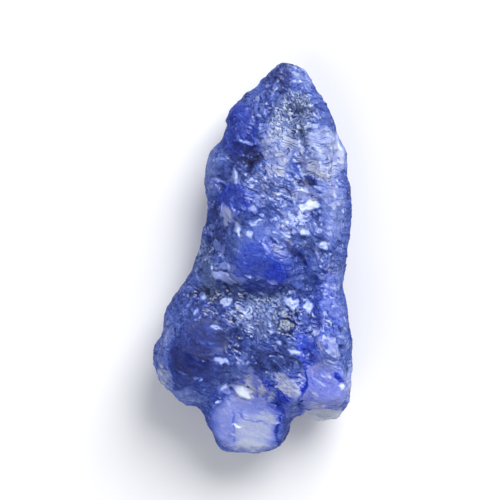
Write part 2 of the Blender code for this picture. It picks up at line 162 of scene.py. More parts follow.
# Its flat breaks, where a flake came off cleanly and left a blunt diamond with a ragged rim. The pale facets
# lie as the surface round them lies. The glinting ones lie square to the line halfway between the main light
# and the front, so that each of them shines. A break's amount is how much paler it is painted than the skin
# round it: a painted highlight, laid over the real glint of the glinting ones.
Break = namedtuple("Break", "x y half_length half_width turn amount")
PALE_FACETS = [
    Break(0.2, -11.9, 1.45, 0.75, -49, 0.52),  # above the lug
    Break(3.2, -11.9, 1.65, 0.80, -44, 0.52),  # bright facet above the lug
    Break(-0.4, -13.9, 1.60, 0.90, -8, 0.0),  # upper plane of the lug
    Break(-2.9, -15.2, 1.90, 0.90, 86, 0.0),  # left plane of the lug
    Break(0.6, -16.4, 2.20, 1.50, 10, 0.0),  # pale plane of the lug
]
GLINTING_BREAKS = [
    # Under the smooth knob
    Break(-2.64, 4.18, 1.17, 0.50, -80, 0.60),
    Break(-1.83, 4.52, 0.63, 0.26, -75, 0.28),
    Break(-1.97, 3.89, 0.55, 0.33, -70, 0.33),
    Break(-1.44, 2.79, 0.96, 0.37, -80, 0.53),
    Break(0.00, 4.62, 0.69, 0.26, -75, 0.38),
    # On the heart of the front, and left and right of it
    Break(-3.27, 1.15, 0.76, 0.50, -35, 0.48),
    Break(-3.75, 3.08, 0.28, 0.27, 0, 0.38),
    Break(-4.04, 2.31, 0.28, 0.27, 0, 0.33),
    Break(-2.40, -0.82, 0.90, 0.37, -5, 0.38),
    Break(-2.16, -1.88, 1.87, 0.50, -12, 0.48),
    Break(-0.34, -1.68, 0.48, 0.20, -25, 0.38),
    Break(-0.38, 2.26, 0.48, 0.37, -20, 0.28),
    Break(4.71, 2.50, 0.69, 0.50, -30, 0.33),
    Break(6.54, 1.25, 0.63, 0.46, 20, 0.43),
    # Left of the waist, and on the big dark lobe
    Break(-4.64, -3.70, 0.63, 0.37, -35, 0.43),
    Break(-5.38, -4.95, 0.55, 0.33, -25, 0.33),
    Break(-2.45, -4.04, 0.69, 0.57, 20, 0.28),
    Break(-3.56, -6.44, 0.69, 0.23, -15, 0.38),
    Break(-2.98, -9.52, 0.78, 0.40, -20, 0.42),
    Break(-8.60, -10.70, 0.35, 0.37, 0, 0.48),
    Break(-8.45, -11.65, 0.35, 0.37, 0, 0.48),
    Break(-5.24, -11.13, 0.52, 0.23, -15, 0.38),
    # Right of the waist, and in the band of glints below it
    Break(3.56, -4.11, 0.72, 0.54, -5, 0.60),
    Break(5.19, -4.47, 0.72, 0.42, -80, 0.38),
    Break(3.56, -8.43, 0.69, 0.44, -25, 0.43),
    Break(2.45, -7.84, 0.31, 0.26, -30, 0.38),
    Break(7.45, -8.46, 1.10, 0.46, -62, 0.33),
    # Above the lug, and on it
    Break(-1.10, -12.45, 1.30, 0.61, -42, 0.48),
    Break(-2.72, -12.18, 0.76, 0.46, -38, 0.43),
    Break(-1.57, -15.87, 0.46, 0.28, -30, 0.14),
    Break(2.26, -15.48, 0.40, 0.26, 20, 0.14),
    # Left of the pale column
    Break(-1.54, 7.60, 0.90, 0.46, -70, 0.60),
    Break(-0.48, 9.52, 0.22, 0.23, 0, 0.48),
    Break(-0.82, 10.96, 0.96, 0.29, -10, 0.28),
    # On the foot, the right shoulder's edge and under the notch
    Break(8.27, -11.92, 0.40, 0.32, 0, 0.50),
    Break(8.30, 10.67, 1.52, 0.50, -80, 0.28),
    Break(5.30, 4.95, 1.10, 0.50, 8, 0.58),
]
DEEPEST_CUT = 0.3
# A break's rim is between a diamond and a box, each by its share. It fades out as an area does, but faster.
DIAMOND_SHARE = 0.55
BOX_SHARE = 0.45
RIM_FADE = 6.0
RIM_END = 1.1
# How far a rim strays, over lumps of what size, and which of the noise's patterns it follows
RAGGEDNESS = (0.28, 0.45)
STRAY_SEED = 7
# A pale facet keeps part of its relief
FACET_FLATNESS = 0.5
# The tip's left side swells outwards, by up to this area's amount
SWELLING = Area(-2.1, 14.6, 1.1, 1.7, 0, 0.42)
# The main light's bearing, clockwise from +Y seen from above, and its height above the horizon
MAIN_LIGHT = (30.0, 44.0)


def direction_of(light):
    """The direction towards a light."""
    turn, rise = (math.radians(angle) for angle in light)
    return Vector((math.sin(turn) * math.cos(rise), math.cos(turn) * math.cos(rise), math.sin(rise)))


def strayed(points, reach, size):
    """The points moved by noise, so that no rim runs even."""
    return np.array([Vector(place) + noise.noise_vector(Vector(place) / size) * reach for place in points])


def share_in(points, cut):
    """How much each point is inside a flat break."""
    along, across = turned_axes(points, cut)
    along = np.abs(along) / cut.half_length
    across = np.abs(across) / cut.half_width
    diamond = DIAMOND_SHARE * (along + across)
    box = BOX_SHARE * np.maximum(along, across)
    return smooth_step(RIM_FADE * (RIM_END - diamond - box))


surface = crystal.data
points = read_rows(surface.vertices, "co") / MM
normals = read_rows(surface.vertex_normals, "vector")
front = facing_front(normals)
halfway = (direction_of(MAIN_LIGHT) + Vector((0.0, 0.0, 1.0))).normalized()
flatness = np.zeros(len(points))
break_highlight = np.zeros(len(points))
noise.seed_set(STRAY_SEED)
ragged = strayed(points, *RAGGEDNESS)
for cut in PALE_FACETS + GLINTING_BREAKS:
    inside = front * share_in(ragged, cut)
    held = points[inside > 0.5]
    middle = held.mean(axis=0)
    if cut in GLINTING_BREAKS:
        slope = (-halfway.x / halfway.z, -halfway.y / halfway.z)
        flatness = np.maximum(flatness, inside)
    else:
        slope = np.linalg.lstsq(held[:, :2] - middle[:2], held[:, 2] - middle[2], rcond=None)[0]
        flatness = np.maximum(flatness, FACET_FLATNESS * inside)
    level = middle[2] + (points[:, 0] - middle[0]) * slope[0] + (points[:, 1] - middle[1]) * slope[1]
    points[:, 2] += np.clip(level - points[:, 2], -DEEPEST_CUT, DEEPEST_CUT) * inside
    break_highlight = np.maximum(break_highlight, cut.amount * inside)
points[:, 0] -= amount_in(points, SWELLING) * smooth_step(0.5 - 0.5 * normals[:, 0])
surface.vertices.foreach_set("co", (points * MM).astype(np.float32).ravel())
surface.update()

# Its struck surface: corundum has no cleavage, so it breaks unevenly, in small shell-shaped flakes and in
# thin wavy steps. Both lift and lower the skin, less where the stone is thin and not at all where it rests.
# Flakes have a length, width, tilt, step and dish, and a share of them is paler by pale.
Flakes = namedtuple("Flakes", "where direction length width tilt step dish share pale")
BROAD_FLAKES = Flakes("hackle", 30.0, 2.4, 1.5, 0.5, 0.18, 0.12, 0.0, 0.0)
SMALL_FLAKES = Flakes("hackle", -20.0, 1.1, 0.7, 0.5, 0.06, 0.05, 0.0, 0.0)
# Steps have a seam and a waviness as shares of their width. Rare is how seldom one is pale, and pale and line
# say how much it and its dark riser, painted shade, change the tone.
Steps = namedtuple("Steps", "where direction length width waviness step seam rare pale line")
STEPS = [
    Steps("crumpled", 27.0, 2.0, 0.50, 3.6, 0.08, 0.13, 0.50, 0.15, -0.26),
    Steps("mosaic", 8.0, 1.1, 0.62, 3.0, 0.09, 0.10, 0.46, 0.18, -0.44),
    Steps("mosaic", 104.0, 1.2, 0.85, 2.6, 0.07, 0.08, 0.48, 0.16, -0.40),
    Steps("rippled", 14.0, 2.2, 0.44, 5.0, 0.14, 0.13, 0.46, 0.26, -0.50),
    Steps("streaked", 36.0, 0.95, 0.36, 2.6, 0.09, 0.18, 0.50, 0.36, -0.50),
    Steps("slivered", 60.0, 2.0, 0.42, 3.0, 0.09, 0.16, 0.54, 0.50, -0.30),
    Steps("grained", 56.0, 0.9, 0.30, 4.0, 0.10, 0.24, 0.50, 0.60, -0.65),
]
PATTERN_SIZES = {
    Flakes: ("direction", "length", "width", "tilt", "step", "dish", "share"),
    Steps: ("direction", "length", "width", "waviness", "step", "seam", "rare"),
}
STEPPED_AREAS = {
    "mosaic": [
        Area(2.2, 10.2, 1.6, 2.9, 0, 1.0),  # pale column
        Area(4.0, 3.4, 1.4, 1.4, 0, 1.0),  # white knob
    ],
    "rippled": [
        Area(6.4, 9.6, 2.6, 2.5, 0, 1.0),  # right shoulder
        Area(4.9, 5.9, 1.7, 0.9, -8, 1.0),  # under the notch
    ],
    "streaked": [
        Area(0.4, -5.4, 2.8, 2.4, 0, 1.0),  # shoulder under the waist
        Area(4.5, -5.8, 1.8, 1.3, -35, 0.9),  # band of glints
        Area(3.3, -11.8, 1.4, 1.4, 0, 0.9),  # bright knob above the lug
        Area(1.4, 6.8, 2.6, 2.0, 0, 0.9),  # middle, between the knobs
        Area(0.2, -11.9, 1.4, 1.1, 0, 1.0),  # above the lug
    ],
    "slivered": [
        Area(7.3, -6.6, 1.8, 3.8, 0, 0.9),  # fluted column
        Area(7.2, 1.6, 1.6, 3.6, 0, 0.5),  # right flank
    ],
    "grained": [
        Area(3.6, 13.2, 2.1, 2.9, -15, 1.0),  # grey patch below the tip
    ],
}
# How a pattern of steps is drawn. The height counts too, so that steps slant where the skin is steep, and the
# waves change more slowly across than along.
HEIGHT_ALONG = 0.5
HEIGHT_ACROSS = 0.4
WAVES_ACROSS = 0.4
# Each step is parted into stretches, which differ from those of the next step
STRETCH_SHIFT = 7.31
STRETCH_SCALE = 1.7
# Each stretch has a chance from 0 to 1. Between the first two values its dark line, painted shade on the
# riser, comes out, and between the next two its relief grows from the lowest to full. It turns pale over the
# rise above rare, and is palest along the middle of its step, where the product of the shares on both sides
# is high.
LINE_CHANCE = (0.33, 0.45)
RELIEF_CHANCE = (0.30, 0.55)
LOWEST_RELIEF = 0.3
PALE_RISE = 0.14
STEP_MIDDLE = (0.02, 0.16)
# All patterns are bent by waves, and no area has an even rim: it strays so far, over lumps of such a size
WAVINESS = 0.55
WAVE_SIZE = 1.7
RIM_STRAYS = ((0.5, 1.7), (0.22, 0.55))
# The crumpled steps come in patches, and fade in smooth places and where other steps are
PATCH_SIZE = 2.4
PATCH_CONTRAST = 1.6
CRUMPLED_LEAST = 0.6
CRUMPLED_LOST_WHERE_SMOOTH = 0.55
CRUMPLED_LOST_AMONG_STEPS = 0.85
# The flakes are all over, and fade in smooth places and on the sides
HACKLE_ALL_OVER = 0.45
HACKLE_LOST_WHERE_SMOOTH = 0.85
HACKLE_ON_SIDES = 0.5
# Relief is full where the stone is this thick, and from this height above the table up. Below that it fades
# out, and flat breaks lose most of it.
FULL_THICKNESS = 2.0
RESTING_HEIGHT = 0.25
RESTING_FADE = 0.2
RELIEF_LOST_WHERE_FLAT = 0.74
# The stone's thickness is felt for from just under the skin
UNDER_SKIN = 0.05


def keep(name, values):
    """Store a number for each point of the skin, for the relief and the finish to read."""
    surface.attributes.new(name, "FLOAT", "POINT").data.foreach_set("value", np.asarray(values, np.float32))


def add(tree, kind, inputs=(), output=0, **settings):
    """Add a node with its settings and links, and return one of its outputs. The inputs are given in order or
    by name, each as a value or as the output of another node."""
    node = tree.nodes.new(kind)
    for name, value in settings.items():
        setattr(node, name, value)
    for place, value in inputs.items() if isinstance(inputs, dict) else enumerate(inputs):
        if isinstance(value, bpy.types.NodeSocket):
            tree.links.new(value, node.inputs[place])
        else:
            node.inputs[place].default_value = value
    return node.outputs[output] if node.outputs else None


def new_pattern(name, kind, sizes, results):
    """A new node group with a place and number sizes, which turns the place by the direction."""
    group = bpy.data.node_groups.new(name, kind)
    group.interface.new_socket("Place", in_out="INPUT", socket_type="NodeSocketVector")
    for size in sizes:
        group.interface.new_socket(size.capitalize(), in_out="INPUT", socket_type="NodeSocketFloat")
    for result in results:
        group.interface.new_socket(result, in_out="OUTPUT", socket_type="NodeSocketFloat")
    asked = add(group, "NodeGroupInput").node.outputs
    angle = add(group, "ShaderNodeMath", (asked["Direction"], math.radians(1.0)), operation="MULTIPLY")
    about = {"Vector": asked["Place"], "Angle": angle}
    return group, asked, add(group, "ShaderNodeVectorRotate", about, rotation_type="Z_AXIS")


def flake_pattern(kind):
    """Struck flakes: each cell is a flake with a tilt and a height of its own, hollow by its dish."""
    group, asked, turned = new_pattern("struck flakes", kind, PATTERN_SIZES[Flakes], ("Height", "Pale"))
    size = add(group, "ShaderNodeCombineXYZ", (asked["Length"], asked["Width"], asked["Width"]))
    cells = add(group, "ShaderNodeVectorMath", (turned, size), operation="DIVIDE")
    struck = add(group, "ShaderNodeTexVoronoi", {"Vector": cells, "Scale": 1.0}).node.outputs
    away = add(group, "ShaderNodeVectorMath", (cells, struck["Position"]), operation="SUBTRACT")
    away = add(group, "ShaderNodeVectorMath", (away, size), operation="MULTIPLY")
    chance = add(group, "ShaderNodeVectorMath", (struck["Color"], (0.5, 0.5, 0.5)), operation="SUBTRACT")
    parted = add(group, "ShaderNodeSeparateXYZ", (chance,)).node.outputs
    palest = add(group, "ShaderNodeMath", (0.5, asked["Share"]), operation="SUBTRACT")
    pale = add(group, "ShaderNodeMapRange", (parted["X"], palest, 0.5))
    slope = add(group, "ShaderNodeVectorMath", (away, chance), "Value", operation="DOT_PRODUCT")
    height = add(group, "ShaderNodeMath", (slope, asked["Tilt"]), operation="MULTIPLY")
    height = add(group, "ShaderNodeMath", (parted["Z"], asked["Step"], height), operation="MULTIPLY_ADD")
    hollow = add(group, "ShaderNodeMath", (struck["Distance"], 2.0), operation="POWER")
    height = add(group, "ShaderNodeMath", (hollow, asked["Dish"], height), operation="MULTIPLY_ADD")
    add(group, "NodeGroupOutput", (height, pale))
    return group


def step_pattern(kind):
    """Wavy steps: each slopes gently to a sharp riser with a dark line of painted shade, and stretches of
    some are pale.
    """
    results = ("Height", "Pale", "Line")
    group, asked, turned = new_pattern("wavy steps", kind, PATTERN_SIZES[Steps], results)
    parted = add(group, "ShaderNodeSeparateXYZ", (turned,)).node.outputs
    along = (parted["Z"], HEIGHT_ALONG, parted["X"])
    along = add(group, "ShaderNodeMath", along, operation="MULTIPLY_ADD")
    along = add(group, "ShaderNodeMath", (along, asked["Length"]), operation="DIVIDE")
    across = (parted["Z"], HEIGHT_ACROSS, parted["Y"])
    across = add(group, "ShaderNodeMath", across, operation="MULTIPLY_ADD")
    across = add(group, "ShaderNodeMath", (across, asked["Width"]), operation="DIVIDE")
    slower = add(group, "ShaderNodeMath", (across, WAVES_ACROSS), operation="MULTIPLY")
    place = add(group, "ShaderNodeCombineXYZ", (along, slower))
    waves = {"Vector": place, "Scale": 1.0, "Detail": 2.0, "Roughness": 0.5}
    wander = add(group, "ShaderNodeTexNoise", waves, noise_dimensions="2D")
    wander = add(group, "ShaderNodeMath", (wander, 0.5), operation="SUBTRACT")
    phase = add(group, "ShaderNodeMath", (wander, asked["Waviness"], across), operation="MULTIPLY_ADD")
    layer = add(group, "ShaderNodeMath", (phase,), operation="FLOOR")
    share = add(group, "ShaderNodeMath", (phase,), operation="FRACT")
    rest = add(group, "ShaderNodeMath", (1.0, share), operation="SUBTRACT")
    stretch = add(group, "ShaderNodeMath", (layer, STRETCH_SHIFT, along), operation="MULTIPLY_ADD")
    stretches = {"W": stretch, "Scale": STRETCH_SCALE, "Detail": 2.0}
    chance = add(group, "ShaderNodeTexNoise", stretches, noise_dimensions="1D")
    soft = {"interpolation_type": "SMOOTHSTEP"}
    nearest = add(group, "ShaderNodeMath", (share, rest), operation="MINIMUM")
    line = add(group, "ShaderNodeMapRange", (nearest, 0.0, asked["Seam"], 1.0, 0.0), **soft)
    shows = add(group, "ShaderNodeMapRange", (chance, *LINE_CHANCE), **soft)
    line = add(group, "ShaderNodeMath", (line, shows), operation="MULTIPLY")
    palest = add(group, "ShaderNodeMath", (asked["Rare"], PALE_RISE), operation="ADD")
    pale = add(group, "ShaderNodeMapRange", (chance, asked["Rare"], palest), **soft)
    middle = add(group, "ShaderNodeMath", (share, rest), operation="MULTIPLY")
    middle = add(group, "ShaderNodeMapRange", (middle, *STEP_MIDDLE), **soft)
    pale = add(group, "ShaderNodeMath", (pale, middle), operation="MULTIPLY")
    height = add(group, "ShaderNodeMath", (0.5, share), operation="SUBTRACT")
    height = add(group, "ShaderNodeMath", (height, asked["Step"]), operation="MULTIPLY")
    uneven = add(group, "ShaderNodeMapRange", (chance, *RELIEF_CHANCE, LOWEST_RELIEF, 1.0), **soft)
    height = add(group, "ShaderNodeMath", (height, uneven), operation="MULTIPLY")
    add(group, "NodeGroupOutput", (height, pale, line))
    return group


skin = BVHTree.FromPolygons([v.co for v in surface.vertices], [p.vertices for p in surface.polygons])
thickness = np.zeros(len(points))
for index, (place, normal) in enumerate(zip(points, normals)):
    inwards = Vector(-normal)
    distance = skin.ray_cast((Vector(place) + inwards * UNDER_SKIN) * MM, inwards)[3]
    if distance is not None:
        thickness[index] = distance / MM
resting = smooth_step((RESTING_HEIGHT - points[:, 2]) / RESTING_FADE)
room = smooth_step(thickness / FULL_THICKNESS) * (1.0 - resting) * (1.0 - RELIEF_LOST_WHERE_FLAT * flatness)

near = points
for reach, size in RIM_STRAYS:
    near = strayed(near, reach, size)
smooth = front * most(near, SMOOTH_AREAS)
stepped = {name: front * most(near, areas) for name, areas in STEPPED_AREAS.items()}
busy = np.maximum.reduce(list(stepped.values()))
patchy = np.array([noise.noise(Vector(place) / PATCH_SIZE) for place in points])
crumpled = CRUMPLED_LEAST + (1.0 - CRUMPLED_LEAST) * smooth_step(0.5 + PATCH_CONTRAST * patchy)
crumpled *= 1.0 - CRUMPLED_LOST_WHERE_SMOOTH * smooth
crumpled *= 1.0 - CRUMPLED_LOST_AMONG_STEPS * busy
hackle = HACKLE_ALL_OVER * (1.0 - HACKLE_LOST_WHERE_SMOOTH * smooth)
hackle *= HACKLE_ON_SIDES + (1.0 - HACKLE_ON_SIDES) * np.abs(normals[:, 2])
for name, amount in stepped.items():
    keep(name, amount * room)
keep("crumpled", crumpled * room)
keep("hackle", hackle * room)

fracture = bpy.data.node_groups.new("hackly fracture", "GeometryNodeTree")
fracture.interface.new_socket("Geometry", in_out="OUTPUT", socket_type="NodeSocketGeometry")
fracture.interface.new_socket("Geometry", in_out="INPUT", socket_type="NodeSocketGeometry")
struck_kinds = {"Broad flakes": BROAD_FLAKES, "Small flakes": SMALL_FLAKES}
struck_kinds.update({f"{made.where.capitalize()} steps {made.direction:.0f}": made for made in STEPS})
relief_sizes = {"Waviness": WAVINESS, "Wave size": WAVE_SIZE}
for title, made in struck_kinds.items():
    relief_sizes.update({f"{title} {size}": getattr(made, size) for size in PATTERN_SIZES[type(made)]})
identifiers = {}
for name in relief_sizes:
    asked_size = fracture.interface.new_socket(name, in_out="INPUT", socket_type="NodeSocketFloat")
    identifiers[name] = asked_size.identifier
asked_finish = fracture.interface.new_socket("Finish", in_out="INPUT", socket_type="NodeSocketMaterial")

asked = add(fracture, "NodeGroupInput").node.outputs
place = add(fracture, "GeometryNodeInputPosition")
place = add(fracture, "ShaderNodeVectorMath", {0: place, "Scale": 1.0 / MM}, operation="SCALE")
waves = add(fracture, "ShaderNodeMath", (1.0, asked["Wave size"]), operation="DIVIDE")
wave = add(fracture, "ShaderNodeTexNoise", {"Vector": place, "Scale": waves, "Detail": 2.0}, "Color")
wave = add(fracture, "ShaderNodeVectorMath", (wave, (0.5, 0.5, 0.5)), operation="SUBTRACT")
wave = add(fracture, "ShaderNodeVectorMath", {0: wave, "Scale": asked["Waviness"]}, operation="SCALE")
place = add(fracture, "ShaderNodeVectorMath", (place, wave), operation="ADD")
patterns = {Flakes: flake_pattern("GeometryNodeTree"), Steps: step_pattern("GeometryNodeTree")}
lift = 0.0
for title, made in struck_kinds.items():
    sizes = {size.capitalize(): asked[f"{title} {size}"] for size in PATTERN_SIZES[type(made)]}
    sizes["Place"] = place
    height = add(fracture, "GeometryNodeGroup", sizes, "Height", node_tree=patterns[type(made)])
    where = add(fracture, "GeometryNodeInputNamedAttribute", {"Name": made.where}, data_type="FLOAT")
    lift = add(fracture, "ShaderNodeMath", (height, where, lift), operation="MULTIPLY_ADD")
struck = asked["Geometry"]
for name, value, kind in (("lift", lift, "FLOAT"), ("struck place", place, "FLOAT_VECTOR")):
    stored = {"Geometry": struck, "Name": name, "Value": value}
    struck = add(fracture, "GeometryNodeStoreNamedAttribute", stored, data_type=kind, domain="POINT")
normal = add(fracture, "GeometryNodeInputNormal")
metres = add(fracture, "ShaderNodeMath", (lift, MM), operation="MULTIPLY")
outwards = add(fracture, "ShaderNodeVectorMath", {0: normal, "Scale": metres}, operation="SCALE")
struck = add(fracture, "GeometryNodeSetPosition", {"Geometry": struck, "Offset": outwards})
struck = add(fracture, "GeometryNodeRealizeInstances", {"Geometry": struck})
struck = add(fracture, "GeometryNodeSetMaterial", {"Geometry": struck, "Material": asked["Finish"]})
add(fracture, "NodeGroupOutput", (struck,))

# Its finish: corundum as it broke, glassy, so that each small break glints. Light goes a little way into it.
# Its colour is indigo where it is thick, and painted paler where it is thin, chipped or raised: painted light
# through thin places, partly painted glints on chips, and painted shade in hollows.
CORUNDUM_IOR = 1.76
GLASSY = 0.22
MATT = 0.90
GLOSS_COLOUR = "#e7f4ff"
# The share of light that goes through, the colour that it takes on its way, and how soon
CLEARNESS = 0.26
DEEP_COLOUR = "#7c89f9"
DEEP_DENSITY = 500.0
# How deep the rest of the light goes before it comes out again, and each of its colours by comparison
GLOW_DEPTH = 0.4
GLOW_REACH = (0.85, 0.88, 1.0)
# From the deepest tone to the palest
BLUES = [
    (0.0, "#141c58"),
    (0.16, "#283684"),
    (0.32, "#4056b0"),
    (0.48, "#627bd2"),
    (0.64, "#8b9ce2"),
    (0.80, "#acb8f2"),
    (1.0, "#d4dcfc"),
]
TONE_TO_BLUES = 0.8
GRAIN_GREY = "#b8c2c8"
# Flecks and chips are too fine for the mesh, and are in the finish. Their pale cells are partly painted
# glints. They lie in clusters, which come out between two values of their noise. Smooth places have fewer
# flecks, and flat breaks nearly none.
FLECKS_AND_PAINTED_GLINTS = Flakes("flecked", 35.0, 0.75, 0.24, 1.0, 0.02, 0.0, 0.14, 0.55)
CHIPS_AND_PAINTED_GLINTS = Flakes("chipped", 20.0, 0.85, 0.42, 0.9, 0.03, 0.0, 0.22, 0.75)
CHIP_AREAS = [
    Area(-4.0, -0.4, 1.2, 3.4, 14, 1.0),  # left edge
    Area(-1.0, -3.0, 4.6, 1.2, 0, 0.9),  # waist
    Area(-4.4, -4.0, 1.6, 1.5, 0, 0.8),  # left of the waist
    Area(-3.2, 3.0, 1.3, 2.2, 0, 0.7),  # left of the heart
    Area(6.2, 0.8, 2.0, 2.6, 0, 0.6),  # right of the heart
    Area(-0.8, -8.4, 1.6, 1.4, 0, 0.4),  # right of the big dark lobe
    Area(3.6, -8.6, 2.2, 1.6, 0, 0.7),  # band of glints
    Area(4.6, 16.8, 1.6, 1.6, 0, 0.6),  # tip
]
CLUSTER_SIZE = 1.43
CLUSTER_RANGE = (0.42, 0.58)
FLECKED_WHERE_SMOOTH = 0.45
FLECKED_LOST_WHERE_FLAT = 0.85
# Colour varies in clouds, in specks, and in grit, whose real grain is under 0.1 mm and is drawn as coarse as
# it needs to be to show. The tones are how much each changes the paleness.
CLOUD_SIZE = 2.2
CLOUD_TONE = 0.24
SPECK_SIZE = (0.77, 0.33, 0.5)
SPECK_TONE = 0.60
SPECK_RELIEF = 0.06
GRIT_SIZE = 0.2
GRIT_TONE = 0.50
GRIT_RELIEF = 0.03
# Painted shade: hollows of the relief are painted darker, and raised places paler, by this much of their lift
HOLLOW_SHADE_TONE = 0.5
# Grey pepper comes out between two values of its noise, up to a share
PEPPER_SIZE = 0.3
PEPPER_RANGE = (0.48, 0.62)
PEPPER_SHARE = 0.5
# Painted light that comes through thin places: the stone is painted paler by THIN_LIGHT_TONE from the first
# thickness down to the second
THICK = 3.2
THIN = 0.4
THIN_LIGHT_TONE = 0.25
